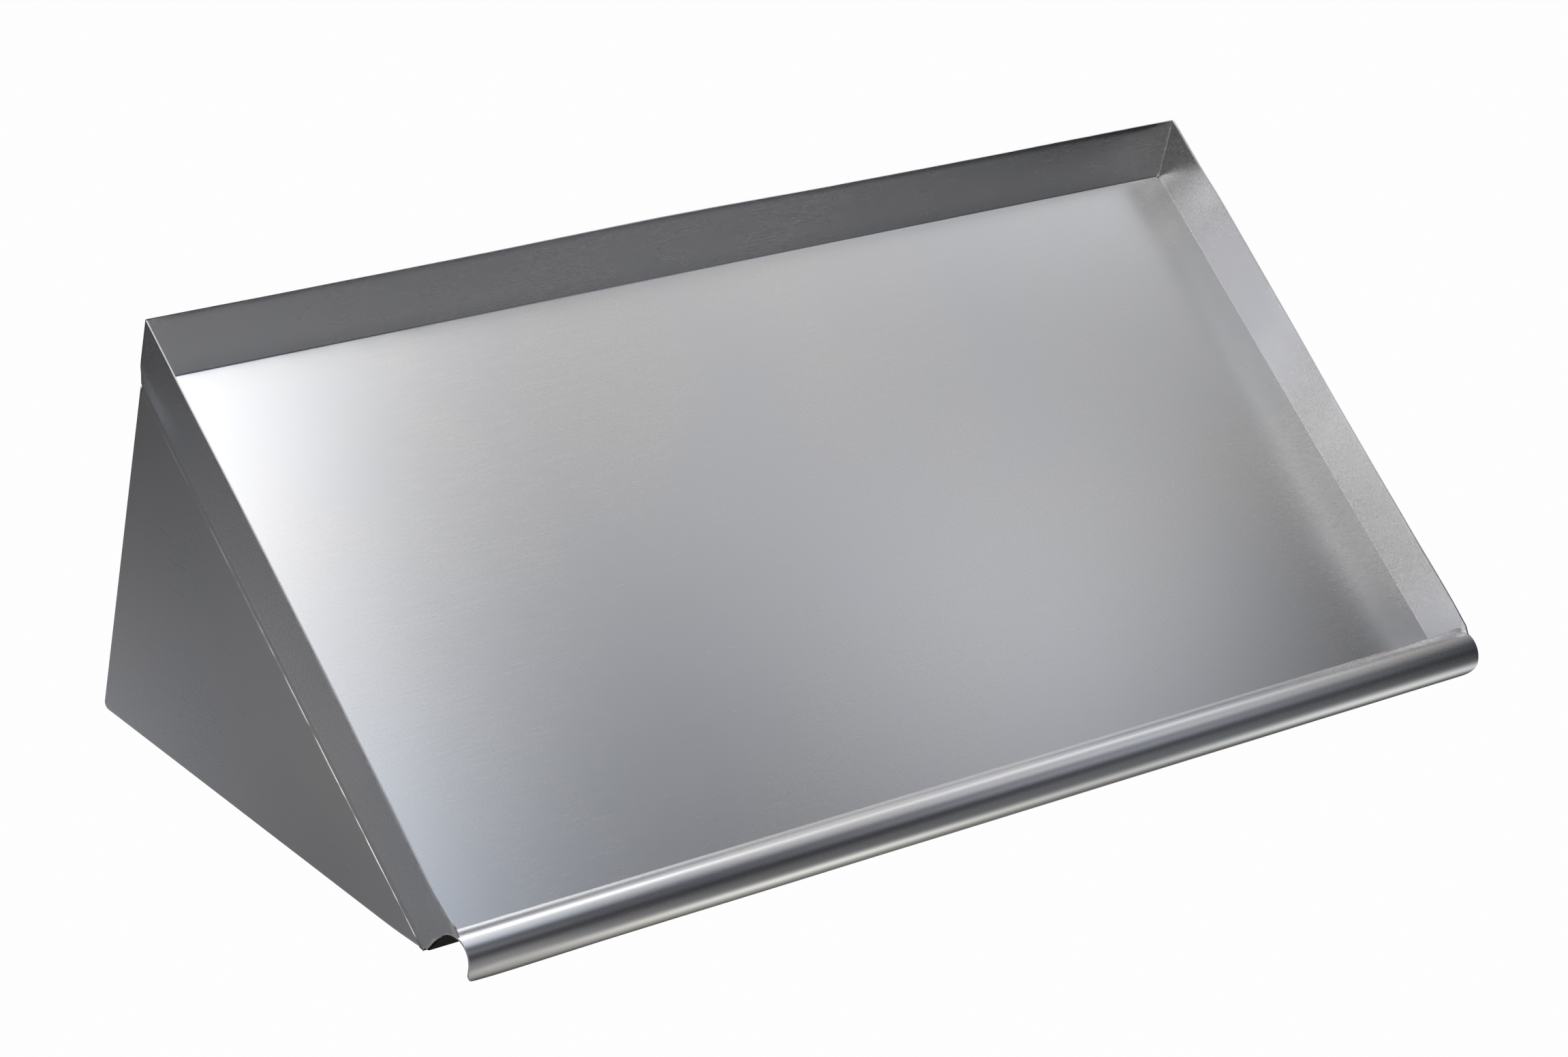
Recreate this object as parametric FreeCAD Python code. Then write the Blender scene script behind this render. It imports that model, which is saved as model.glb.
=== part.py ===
import FreeCAD, Part
import math
import os

# Wall-mounted slanted tray shelf in welded stainless sheet.
# A shallow pan slopes down towards the front: upturned back and sides, and a
# front wall that rolls outwards into a 1-1/2 in rim.  Two triangular end
# brackets with folded flanges carry the pan and take the wall screws.
#
# Frame: X along the width, +Y towards the wall, +Z up.  The origin is the
# centre of the footprint, on the plane the bracket feet stand on.
# Slope coordinates: u runs down the floor from the wall plane, v stands
# square off the floor.  Left pieces are at -X and are mirrored for the right.
# Millimetres and degrees.

Vector = FreeCAD.Vector
INCH = 25.4

# ---------------------------------------------------------------- dimensions
WIDTH = 42 * INCH            # over the side faces
SHEET = 1.5                  # 16 gauge
SLOPE_DEG = 34.0             # floor against the horizontal
BACK_UPTURN = 2 * INCH       # vertical, above the floor line at the wall
FLOOR_REAR_Z = 269.8         # floor line at the wall plane, above the feet
FLOOR_LENGTH = 475.0         # along the slope, wall plane to front wall
BEND_IN = 1.0                # inside radius of the side folds
BEND_OUT = BEND_IN + SHEET
BACK_BEND_IN = 1.5           # inside radius of the back fold
FRONT_BEND_IN = 4.5          # inside radius of the fold under the front wall

ROLL_R = 0.75 * INCH         # outer radius of the rolled rim
ROLL_V = 22.5                # roll axis above the floor
ROLL_U = FLOOR_LENGTH + ROLL_R
ROLL_START_DEG = 180.0       # about the roll axis, from +u towards +v
ROLL_END_DEG = -5.0          # where the rolled sheet stops
ROLL_CORNER_R = 10.0         # rounded lower corners of the rim's free edge
CAP_END_DEG = 115.0          # where the side upturn tapers into the roll
CAP_TOP_LENGTH = 4.0         # level top of the upturn past the front wall

FLANGE = 28.0                # width of the bracket flanges, from the side face
TIP_U = 472.0                # where the bracket's front tip is cut
FOOT_CORNER_R = 6.0          # rounding of the bracket's lower rear corner
TIP_R = 4.0                  # rounding of the bracket's front tip
RELIEF = 4.0                 # plate and bend width kept at the flange reliefs
RELIEF_DEPTH = 14.0          # rear reliefs from the wall, and foot relief height
TOP_RELIEF_DROP = 20.0       # upper rear relief, below the bracket's top
FRONT_RELIEF_U = 438.0       # where the front relief starts
HOLE_R = 4.0                 # wall screw holes, 5/16 in screws
HOLE_IN = 16.0               # hole centre from the side face
HOLE_Z = (40.0, 220.0)       # hole heights

SEAM_DEPTH = 0.12            # ground seam fill lies this far under the side face
SEAM_ROOT = 1.7              # depth of the fill's root
SEAM_U = (6.0, 466.0)        # run of the seam fill
CORNER_BEAD_R = 1.2          # back corner beads
CORNER_BEAD_INSET = 0.25     # bead axis, outside the pan's inner faces
CORNER_BEAD_DROP = 6.0       # bead start below the rear floor line
CORNER_BLOB_R = 2.6          # blob where the bead meets the floor
CORNER_BLOB_INSET = 0.4
CORNER_BLOB_DROP = 0.6
FRONT_BEAD = 1.3             # leg of the front corner fillet beads
FRONT_BEAD_START_V = FRONT_BEND_IN + 0.5
FRONT_BEAD_SWEEP_DEG = 62.0  # run of the bead round the roll
STITCH_LEG = 1.5             # along the pan's underside
STITCH_DROP = STITCH_LEG - 0.15  # down the flange's free edge
STITCH_LEN = 25.0
STITCH_U = (40.0, 135.0, 230.0, 325.0, 410.0)  # stitch centres

# ------------------------------------------------------------ derived values
SIN = math.sin(math.radians(SLOPE_DEG))
COS = math.cos(math.radians(SLOPE_DEG))
TAN = math.tan(math.radians(SLOPE_DEG))
HALF = WIDTH / 2.0
INNER_X = HALF - SHEET               # inner faces of the side upturns
SIDE_H = BACK_UPTURN * COS           # side upturns, square to the floor
DEPTH = ROLL_U * COS + ROLL_V * SIN + ROLL_R
WALL_Y = DEPTH / 2.0
BRACKET_TOP_Z = FLOOR_REAR_Z - SHEET / COS  # pan's underside at the wall plane

U_DIR = Vector(0, -COS, -SIN)
V_DIR = Vector(0, -SIN, COS)
X_DIR = Vector(1, 0, 0)


# ------------------------------------------------------------------- helpers
def slope_point(x, u, v):
    return Vector(x, WALL_Y - (u * COS + v * SIN), FLOOR_REAR_Z - u * SIN + v * COS)


def wall_point(x, y, z):
    """Point with y measured from the wall plane."""
    return Vector(x, WALL_Y + y, z)


def roll_point(x, radius, angle):
    """Point about the roll axis."""
    turn = math.radians(angle)
    return slope_point(x, ROLL_U + radius * math.cos(turn), ROLL_V + radius * math.sin(turn))


def line(start, end):
    return Part.LineSegment(start, end).toShape()


def arc(start, middle, end):
    return Part.Arc(start, middle, end).toShape()


def roll_arc(x, radius, start, end):
    return arc(roll_point(x, radius, start),
               roll_point(x, radius, (start + end) / 2.0),
               roll_point(x, radius, end))


def edge_face(edges):
    return Part.Face(Part.Wire(Part.__sortEdges__(edges)))


def polygon_face(points):
    return Part.Face(Part.makePolygon(points + [points[0]]))


def rounded_face(corners, radii):
    """Planar face from corner points, each corner rounded by its radius."""
    starts, middles, ends = [], [], []
    for i, corner in enumerate(corners):
        radius = radii[i]
        if radius <= 0:
            starts.append(corner)
            middles.append(None)
            ends.append(corner)
            continue
        to_last = (corners[i - 1] - corner).normalize()
        to_next = (corners[(i + 1) % len(corners)] - corner).normalize()
        half_angle = to_last.getAngle(to_next) / 2.0
        setback = radius / math.tan(half_angle)
        inward = (to_last + to_next).normalize()
        centre = corner + inward * (radius / math.sin(half_angle))
        starts.append(corner + to_last * setback)
        middles.append(centre - inward * radius)
        ends.append(corner + to_next * setback)
    edges = []
    for i in range(len(corners)):
        if middles[i] is not None:
            edges.append(arc(starts[i], middles[i], ends[i]))
        next_start = starts[(i + 1) % len(corners)]
        if (next_start - ends[i]).Length > 1e-6:
            edges.append(line(ends[i], next_start))
    return edge_face(edges)


def edges_at_x(shape, x):
    """Edges that lie wholly in the plane at x."""
    return [edge for edge in shape.Edges
            if abs(edge.BoundBox.XMin - x) < 1e-4 and abs(edge.BoundBox.XMax - x) < 1e-4]


def lies_at_v(edge, v):
    """True for an edge whose ends are all at height v off the floor."""
    for vertex in edge.Vertexes:
        point = vertex.Point
        height = (point.z - FLOOR_REAR_Z) * COS - (point.y - WALL_Y) * SIN
        if abs(height - v) > 1e-4:
            return False
    return True


def round_sides(block, half_width, top_v, radius):
    """Fillet both end outlines of a block, leaving out its top edges."""
    outline = edges_at_x(block, -half_width) + edges_at_x(block, half_width)
    return block.makeFillet(radius, [edge for edge in outline if not lies_at_v(edge, top_v)])


def clean(shape):
    """Merge split faces and unwrap a compound of one solid."""
    merged = shape.removeSplitter()
    if merged.ShapeType == "Compound" and len(merged.Solids) == 1:
        merged = merged.Solids[0]
    return merged


def mirror(shape):
    return shape.mirror(Vector(0, 0, 0), X_DIR)


# ------------------------------------------------------------------- the pan
def tray_envelope():
    """Outer envelope of the folded tray."""
    front_u = FLOOR_LENGTH + SHEET
    block = rounded_face(
        [slope_point(-HALF, SHEET * TAN, -SHEET),
         slope_point(-HALF, front_u, -SHEET),
         slope_point(-HALF, front_u, SIDE_H),
         slope_point(-HALF, -SIDE_H * TAN, SIDE_H)],
        [BACK_BEND_IN + SHEET, FRONT_BEND_IN + SHEET, 0, 0]).extrude(X_DIR * WIDTH)
    return round_sides(block, HALF, SIDE_H, BEND_OUT)


def tray_cavity():
    """Inner envelope of the tray, run on above the upturns."""
    top_v = SIDE_H + 20.0
    block = rounded_face(
        [slope_point(-INNER_X, SHEET / COS, 0),
         slope_point(-INNER_X, FLOOR_LENGTH, 0),
         slope_point(-INNER_X, FLOOR_LENGTH, top_v),
         slope_point(-INNER_X, (SHEET - top_v * SIN) / COS, top_v)],
        [BACK_BEND_IN, FRONT_BEND_IN, 0, 0]).extrude(X_DIR * (2 * INNER_X))
    return round_sides(block, INNER_X, top_v, BEND_IN)


def front_wall_trim():
    """Block that stops the front wall at the height of the roll axis."""
    side_gap = 1
    gap = 5
    x = -HALF - side_gap
    far_u = FLOOR_LENGTH + SHEET + gap
    return polygon_face(
        [slope_point(x, FLOOR_LENGTH, ROLL_V),
         slope_point(x, far_u, ROLL_V),
         slope_point(x, far_u, SIDE_H + gap),
         slope_point(x, FLOOR_LENGTH, SIDE_H + gap)]).extrude(X_DIR * (WIDTH + 2 * side_gap))


def rolled_rim():
    inner_r = ROLL_R - SHEET
    rim = edge_face([
        roll_arc(-HALF, ROLL_R, ROLL_START_DEG, ROLL_END_DEG),
        line(roll_point(-HALF, ROLL_R, ROLL_END_DEG), roll_point(-HALF, inner_r, ROLL_END_DEG)),
        roll_arc(-HALF, inner_r, ROLL_END_DEG, ROLL_START_DEG),
        line(roll_point(-HALF, inner_r, ROLL_START_DEG),
             roll_point(-HALF, ROLL_R, ROLL_START_DEG)),
    ]).extrude(X_DIR * WIDTH)

    # Rounded lower corners at both ends of the rim's free edge.
    gap = 2
    corner_u = ROLL_U + gap
    edge_v = ROLL_V + ROLL_R * math.sin(math.radians(ROLL_END_DEG))
    centre_v = edge_v + ROLL_CORNER_R
    for side in (-1, 1):
        centre_x = side * (HALF - ROLL_CORNER_R)
        outer_x = side * (HALF + gap)
        block = polygon_face([
            slope_point(centre_x, corner_u, centre_v),
            slope_point(outer_x, corner_u, centre_v),
            slope_point(outer_x, corner_u, edge_v - gap),
            slope_point(centre_x, corner_u, edge_v - gap)]).extrude(U_DIR * 30)
        keep = Part.makeCylinder(ROLL_CORNER_R, 34,
                                 slope_point(centre_x, ROLL_U, centre_v), U_DIR)
        rim = rim.cut(block.cut(keep))
    return rim


def side_cap(x):
    """Side upturn run on over the start of the roll, tapering into it."""
    wall_top = slope_point(x, FLOOR_LENGTH, SIDE_H)
    cap_top = slope_point(x, FLOOR_LENGTH + CAP_TOP_LENGTH, SIDE_H)
    return edge_face([
        roll_arc(x, ROLL_R, ROLL_START_DEG, CAP_END_DEG),
        line(roll_point(x, ROLL_R, CAP_END_DEG), cap_top),
        line(cap_top, wall_top),
        line(wall_top, slope_point(x, FLOOR_LENGTH, ROLL_V)),
    ]).extrude(X_DIR * SHEET)


def tray_pan(cavity):
    tray = tray_envelope().cut(cavity).cut(front_wall_trim())
    return clean(tray.fuse([rolled_rim(), side_cap(-HALF), side_cap(INNER_X)]))


# -------------------------------------------------------------- end brackets
def bracket_shell():
    """Solid bracket block: rear edge on the wall plane, foot edge level,
    upper edge on the underside of the pan, outer bends rounded."""
    tip_v = (TIP_U * SIN - FLOOR_REAR_Z) / COS  # foot plane at the tip
    shell = rounded_face(
        [wall_point(-HALF, 0, 0),
         wall_point(-HALF, 0, BRACKET_TOP_Z),
         slope_point(-HALF, TIP_U, -SHEET),
         slope_point(-HALF, TIP_U, tip_v)],
        [FOOT_CORNER_R, 0, 0, TIP_R]).extrude(X_DIR * FLANGE)
    # The three long edges and the lower rear corner's arc; the tip stays sharp.
    return shell.makeFillet(BEND_OUT, [
        edge for edge in edges_at_x(shell, -HALF)
        if edge.Length > 60.0 or (edge.Curve.TypeId == "Part::GeomCircle"
                                  and edge.BoundBox.ZMin < 1e-3
                                  and edge.BoundBox.YMin > WALL_Y - 50)])


def bracket_core():
    """Hollow that leaves the plate and three flanges one sheet thick."""
    x = -HALF + SHEET
    # Sharp front point, where the upper and foot flanges' inner faces meet.
    point_u = (FLOOR_REAR_Z - SHEET - 2 * SHEET * COS) / SIN
    core = rounded_face(
        [wall_point(x, -SHEET, SHEET),
         wall_point(x, -SHEET, BRACKET_TOP_Z - (SHEET + SHEET * SIN) / COS),
         slope_point(x, point_u, -2 * SHEET)],
        [FOOT_CORNER_R - SHEET, 0, 0]).extrude(X_DIR * (FLANGE + 5))
    return core.makeFillet(BEND_IN, edges_at_x(core, x))


def left_bracket():
    bracket = bracket_shell().cut(bracket_core())

    # Flange reliefs at the three corners: the plate stays, the flanges stop short.
    x = -HALF + RELIEF
    relief_bottom = BRACKET_TOP_Z - TOP_RELIEF_DROP
    relief_top = BRACKET_TOP_Z + 10
    reliefs = (
        [wall_point(x, 5, -5), wall_point(x, 5, RELIEF_DEPTH),
         wall_point(x, -RELIEF_DEPTH, RELIEF_DEPTH), wall_point(x, -RELIEF_DEPTH, -5)],
        [wall_point(x, 5, relief_top), wall_point(x, 5, relief_bottom),
         wall_point(x, -RELIEF_DEPTH, relief_bottom),
         wall_point(x, -RELIEF_DEPTH, relief_top)],
        [slope_point(x, FRONT_RELIEF_U, 5), slope_point(x, FRONT_RELIEF_U, -120),
         slope_point(x, 560, -120), slope_point(x, 560, 5)],
    )
    for outline in reliefs:
        bracket = bracket.cut(polygon_face(outline).extrude(X_DIR * (FLANGE + 5)))

    # Wall screw holes through the rear flange.
    for hole_z in HOLE_Z:
        bracket = bracket.cut(Part.makeCylinder(
            HOLE_R, 20, wall_point(-HALF + HOLE_IN, 10, hole_z), Vector(0, -1, 0)))
    return clean(bracket)


# --------------------------------------------------------------------- welds
def left_seam():
    """Fill in the groove between the pan's side fold and the bracket's fold."""
    middle_depth = (SEAM_DEPTH + SEAM_ROOT) / 2.0

    def seam_point(depth, side):
        half_gap = BEND_OUT - math.sqrt(BEND_OUT ** 2 - (BEND_OUT - depth) ** 2)
        return slope_point(-HALF + depth, SEAM_U[0], -SHEET + side * half_gap)

    upper = [seam_point(depth, 1) for depth in (SEAM_DEPTH, middle_depth, SEAM_ROOT)]
    lower = [seam_point(depth, -1) for depth in (SEAM_ROOT, middle_depth, SEAM_DEPTH)]
    return clean(edge_face([
        line(lower[-1], upper[0]),
        arc(*upper),
        line(upper[-1], lower[0]),
        arc(*lower),
    ]).extrude(U_DIR * (SEAM_U[1] - SEAM_U[0])))


def back_left_weld(cavity):
    """Bead up the inside of the back corner, with a blob at the floor."""
    bead_foot = wall_point(-INNER_X + CORNER_BEAD_INSET, -SHEET - CORNER_BEAD_INSET,
                           FLOOR_REAR_Z - CORNER_BEAD_DROP)
    bead = Part.makeCylinder(CORNER_BEAD_R, BACK_UPTURN - 1.0, bead_foot, Vector(0, 0, 1))
    blob = Part.makeSphere(
        CORNER_BLOB_R,
        wall_point(-INNER_X + CORNER_BLOB_INSET, -SHEET - CORNER_BLOB_INSET,
                   FLOOR_REAR_Z - CORNER_BLOB_DROP))
    return clean(bead.fuse(blob).common(cavity))


def front_left_weld():
    """Fillet bead between the side upturn and the front wall and roll."""
    def section(v):
        return polygon_face([
            slope_point(-INNER_X, FLOOR_LENGTH, v),
            slope_point(-INNER_X + FRONT_BEAD, FLOOR_LENGTH, v),
            slope_point(-INNER_X, FLOOR_LENGTH - FRONT_BEAD, v)])

    wall_run = section(FRONT_BEAD_START_V).extrude(V_DIR * (ROLL_V - FRONT_BEAD_START_V))
    # A positive turn about +X goes from the wall up towards the crest.
    roll_run = section(ROLL_V).revolve(
        slope_point(-INNER_X, ROLL_U, ROLL_V), X_DIR, FRONT_BEAD_SWEEP_DEG)
    return clean(wall_run.fuse(roll_run))


def left_stitches():
    """Stitch welds along the upper flange's free edge, under the pan."""
    x = -HALF + FLANGE
    stitches = []
    for centre_u in STITCH_U:
        start_u = centre_u - STITCH_LEN / 2
        stitches.append(polygon_face([
            slope_point(x, start_u, -SHEET),
            slope_point(x + STITCH_LEG, start_u, -SHEET),
            slope_point(x, start_u, -SHEET - STITCH_DROP)]).extrude(U_DIR * STITCH_LEN))
    return Part.makeCompound(stitches)


# -------------------------------------------------------------------- export
def export(name, shape):
    shape.exportStep("parts/" + name + ".step")


os.makedirs("parts", exist_ok=True)
pan_cavity = tray_cavity()
export("tray_pan", tray_pan(pan_cavity))

left_pieces = {
    "{}_bracket": left_bracket(),
    "{}_seam_weld": left_seam(),
    "back_{}_corner_weld": back_left_weld(pan_cavity),
    "front_{}_corner_weld": front_left_weld(),
    "{}_stitch_welds": left_stitches(),
}
for pattern, left_piece in left_pieces.items():
    export(pattern.format("left"), left_piece)
    export(pattern.format("right"), mirror(left_piece))
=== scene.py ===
import math

import bmesh
import bpy
from mathutils import Matrix, Vector, noise


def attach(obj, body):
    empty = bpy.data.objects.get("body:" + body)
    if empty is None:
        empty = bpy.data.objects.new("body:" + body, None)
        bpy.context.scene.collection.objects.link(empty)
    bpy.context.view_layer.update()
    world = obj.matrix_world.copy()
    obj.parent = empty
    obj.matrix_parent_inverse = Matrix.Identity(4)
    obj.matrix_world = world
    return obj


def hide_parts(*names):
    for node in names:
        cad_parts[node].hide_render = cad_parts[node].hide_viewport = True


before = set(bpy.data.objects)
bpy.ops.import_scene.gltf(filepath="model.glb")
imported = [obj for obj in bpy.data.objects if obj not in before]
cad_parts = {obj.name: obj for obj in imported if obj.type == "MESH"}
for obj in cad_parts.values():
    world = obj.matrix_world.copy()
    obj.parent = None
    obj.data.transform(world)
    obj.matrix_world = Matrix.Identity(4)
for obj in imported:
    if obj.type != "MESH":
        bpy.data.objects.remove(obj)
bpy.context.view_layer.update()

# ------------------------------------------------------------- dimensions, mm
WIDTH = 1066.8
SHEET = 1.5
SLOPE = math.radians(34.0)
FLOOR_REAR_Z = 269.8
FLOOR_LENGTH = 475.0
BACK_UPTURN = 50.8
ROLL_R = 19.05
ROLL_CENTRE_V = 22.5
ROLL_END = -5.0
ROLL_CORNER_R = 12.0
CAP_END = 115.0
BEND_IN = 1.0
BACK_BEND_IN = 1.5
FRONT_BEND_IN = 1.5
BEND_OUT = BEND_IN + SHEET
SIDE_BEND_IN = 0.08         # the side folds are crisper on the tray side

S, C, T = math.sin(SLOPE), math.cos(SLOPE), math.tan(SLOPE)
HALF = WIDTH / 2.0
SIDE_H = BACK_UPTURN * C
ROLL_CENTRE_U = FLOOR_LENGTH + ROLL_R
DEPTH = ROLL_CENTRE_U * C + ROLL_CENTRE_V * S + ROLL_R
SHIFT = DEPTH / 2.0
MM = 0.001


def at(x, u, v):
    """Width x, distance u down the slope, height v off the floor, in mm -> metres in the row frame."""
    return Vector((x * MM, (SHIFT - (u * C + v * S)) * MM,
                   (FLOOR_REAR_Z - u * S + v * C) * MM))


def yz(x, y, z):
    """Width x, y from the wall plane, height z above the feet, in mm -> metres."""
    return Vector((x * MM, (SHIFT + y) * MM, z * MM))


def smooth(t):
    t = min(1.0, max(0.0, t))
    return t * t * (3 - 2 * t)


# ------------------------------------------------------- the pan's long section
# Tray-side line of the folded sheet in (u, v), with its normal pointing into
# the tray.  Zones: back, floor, front (bend, wall and the covered part of the
# roll) and the open roll.
def section():
    pts = []

    def add(zone, u, v, nu, nv):
        pts.append({"zone": zone, "u": u, "v": v, "nu": nu, "nv": nv})

    # back: vertical plane SHEET in front of the wall; (u, v) of y = -SHEET
    # satisfies u*C + v*S = SHEET; its normal into the tray is (C, S)
    ang = math.pi / 2 + SLOPE             # angle between floor and back plane
    tan_len = BACK_BEND_IN / math.tan(ang / 2)
    u_corner = SHEET / C
    # distance up the back plane from the corner to the start of the bend
    up_u, up_v = -S, C
    top_len = SIDE_H / C
    n_back = 12
    for i in range(n_back):
        d = top_len + (tan_len - top_len) * (i / n_back) ** 1.6
        add("back", u_corner + up_u * d, up_v * d, C, S)
    # bend arc: centre is BACK_BEND_IN off both planes
    cu, cv = u_corner + tan_len, BACK_BEND_IN
    a0 = math.atan2(-S, -C)               # pointing at the back plane
    a1 = -math.pi / 2                     # pointing at the floor
    n_bend = 5
    for i in range(n_bend + 1):
        a = a0 + (a1 - a0) * i / n_bend
        add("back", cu + BACK_BEND_IN * math.cos(a),
            cv + BACK_BEND_IN * math.sin(a), -math.cos(a), -math.sin(a))
    u0, u1 = cu, FLOOR_LENGTH - FRONT_BEND_IN
    n_floor = 124
    for i in range(1, n_floor):
        t = (i / n_floor) ** 1.3
        add("floor", u0 + (u1 - u0) * t, 0.0, 0.0, 1.0)
    # front bend
    cu, cv = u1, FRONT_BEND_IN
    n_fb = 7
    for i in range(n_fb + 1):
        a = -math.pi / 2 + (math.pi / 2) * i / n_fb
        add("front", cu + FRONT_BEND_IN * math.cos(a),
            cv + FRONT_BEND_IN * math.sin(a), -math.cos(a), -math.sin(a))
    n_wall = 4
    for i in range(1, n_wall):
        add("front", FLOOR_LENGTH, FRONT_BEND_IN +
            (ROLL_CENTRE_V - FRONT_BEND_IN) * i / n_wall, -1.0, 0.0)
    n_cap = 6
    for i in range(n_cap + 1):
        a = math.radians(180 + (CAP_END - 180) * i / n_cap)
        add("front", ROLL_CENTRE_U + ROLL_R * math.cos(a),
            ROLL_CENTRE_V + ROLL_R * math.sin(a), math.cos(a), math.sin(a))
    # the open roll, closer together near the free edge
    n_roll = 26
    for i in range(n_roll + 1):
        t = math.sin(i / n_roll * math.pi / 2)
        t = 0.55 * t + 0.45 * i / n_roll
        a = math.radians(CAP_END + (ROLL_END - CAP_END) * t)
        add("roll", ROLL_CENTRE_U + ROLL_R * math.cos(a),
            ROLL_CENTRE_V + ROLL_R * math.sin(a), math.cos(a), math.sin(a))
    return pts


PTS = section()
N_BACK = sum(1 for p in PTS if p["zone"] == "back")
N_FLOOR = sum(1 for p in PTS if p["zone"] == "floor")
N_FRONT = sum(1 for p in PTS if p["zone"] == "front")

# The roll turns away from the wall: its tray-side normal is the outward one.
V_END = ROLL_CENTRE_V + ROLL_R * math.sin(math.radians(ROLL_END))


def roll_x_end(v):
    """Half width of the rolled rim at height v: its lower corners are rounded."""
    h = V_END + ROLL_CORNER_R - v
    if h <= 0:
        return HALF
    h = min(h, ROLL_CORNER_R)
    return HALF - ROLL_CORNER_R + math.sqrt(ROLL_CORNER_R ** 2 - h * h)


# ------------------------------------------------------------- sheet-metal play
def wave(x, u, seed, size):
    return noise.noise(Vector((x / size, u / size, seed)))


def table(pairs, t):
    """Smooth curve through (t, value) pairs."""
    if t <= pairs[0][0]:
        return pairs[0][1]
    for (a, va), (b, vb) in zip(pairs, pairs[1:]):
        if t <= b:
            return va + (vb - va) * smooth((t - a) / (b - a))
    return pairs[-1][1]


LEFT_LEAN = ((-30, 2.6), (20, 2.6), (140, 1.9), (260, 2.1), (360, 3.0),
             (440, 3.6), (478, 1.6))
# The right side: its fold runs in towards the back while its top edge stays
# about straight, so it leans out by several degrees at the back.
RIGHT_FOLD = ((-30, -3.9), (0, -3.6), (14, -3.0), (60, -2.5), (160, -2.0),
              (260, -1.3), (310, -0.8), (360, -0.1), (400, 0.0))
RIGHT_TOP = ((-30, 0.0), (20, 0.0), (60, 1.3), (180, 1.0), (260, 0.1),
             (320, 0.1), (380, 0.5), (450, 1.4), (478, 0.8))


def side_shift(sign, u, v):
    """How far the side upturns and the folds under them stray from true, in
    mm of x."""
    k = min(1.0, max(0.0, v / SIDE_H))
    if sign < 0:
        rear = smooth((60.0 - u) / 60.0)
        shape = k * (1 - rear) + rear * smooth(v / 14.0)
        return -table(LEFT_LEAN, u) * shape
    return table(RIGHT_FOLD, u) * (1 - k) + table(RIGHT_TOP, u) * k


def play(x, u, v, zone, tray_side):
    """Small hand-made irregularity of the folded sheet: (dx, du, dv) in mm."""
    dx = du = dv = 0.0
    ex = smooth((HALF - 6 - abs(x)) / 90.0)
    if zone in ("floor", "back") and u > -3.0:
        # the floor runs up into the back fold over its last few millimetres
        lift = 0.55 + 0.30 * wave(x, 0.0, 21.0, 38.0)
        lift *= smooth((HALF - 4 - abs(x)) / 20.0)
        dv += (lift * math.exp(-max(0.0, u - 2.0) / 3.6)
               * (1.0 - smooth(v / 7.0)))
    if zone == "floor":
        eu = smooth((u - 6) / 70.0) * smooth((FLOOR_LENGTH - 8 - u) / 70.0)
        dv += 0.10 * ex * eu * wave(x, u, 3.1, 190.0)
        dv += 0.05 * ex * eu * wave(x, u, 9.7, 75.0)
    elif zone == "back":
        k = smooth(v / SIDE_H)
        # the back's free edge wanders along its length and crowns mid-length
        d = k * ex * (0.45 * wave(x, 0.0, 5.5, 160.0)
                      + 0.20 * wave(x, 0.0, 6.5, 52.0))
        crown = 2.0 * k * math.exp(-((x + 45.0) / 150.0) ** 2)
        if tray_side:
            # the sheared edge is rolled over on the tray side
            edge = max(0.0, 1.0 - (SIDE_H - v) / 2.2)
            d -= (0.60 * edge ** 2 * (1.0 + 0.5 * wave(x, 0.0, 2.5, 14.0))
                  * smooth((HALF - 6 - abs(x)) / 30.0))
        # d is square to the back's plane, crown is straight up
        du += d * C - crown * S
        dv += d * S + crown * C
    elif zone == "roll":
        f = 0.11 * wave(x, u + 2 * v, 12.3, 95.0) + 0.02 * wave(x, v, 1.3, 36.0)
        f *= smooth((HALF - 10 - abs(x)) / 60.0)
        ru, rv = u - ROLL_CENTRE_U, v - ROLL_CENTRE_V
        r = math.hypot(ru, rv) or 1.0
        phi = math.degrees(math.atan2(rv, ru))
        k = smooth((CAP_END - phi) / 30.0)
        du += f * k * ru / r
        dv += f * k * rv / r
        # the rim's free edge droops a little at the left end
        dv -= (2.0 * smooth((60.0 - phi) / 65.0) * smooth((-x - 400.0) / 100.0)
               * (1.0 - 0.7 * smooth((-x - 500.0) / 33.0)))
    return dx, du, dv


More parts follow.
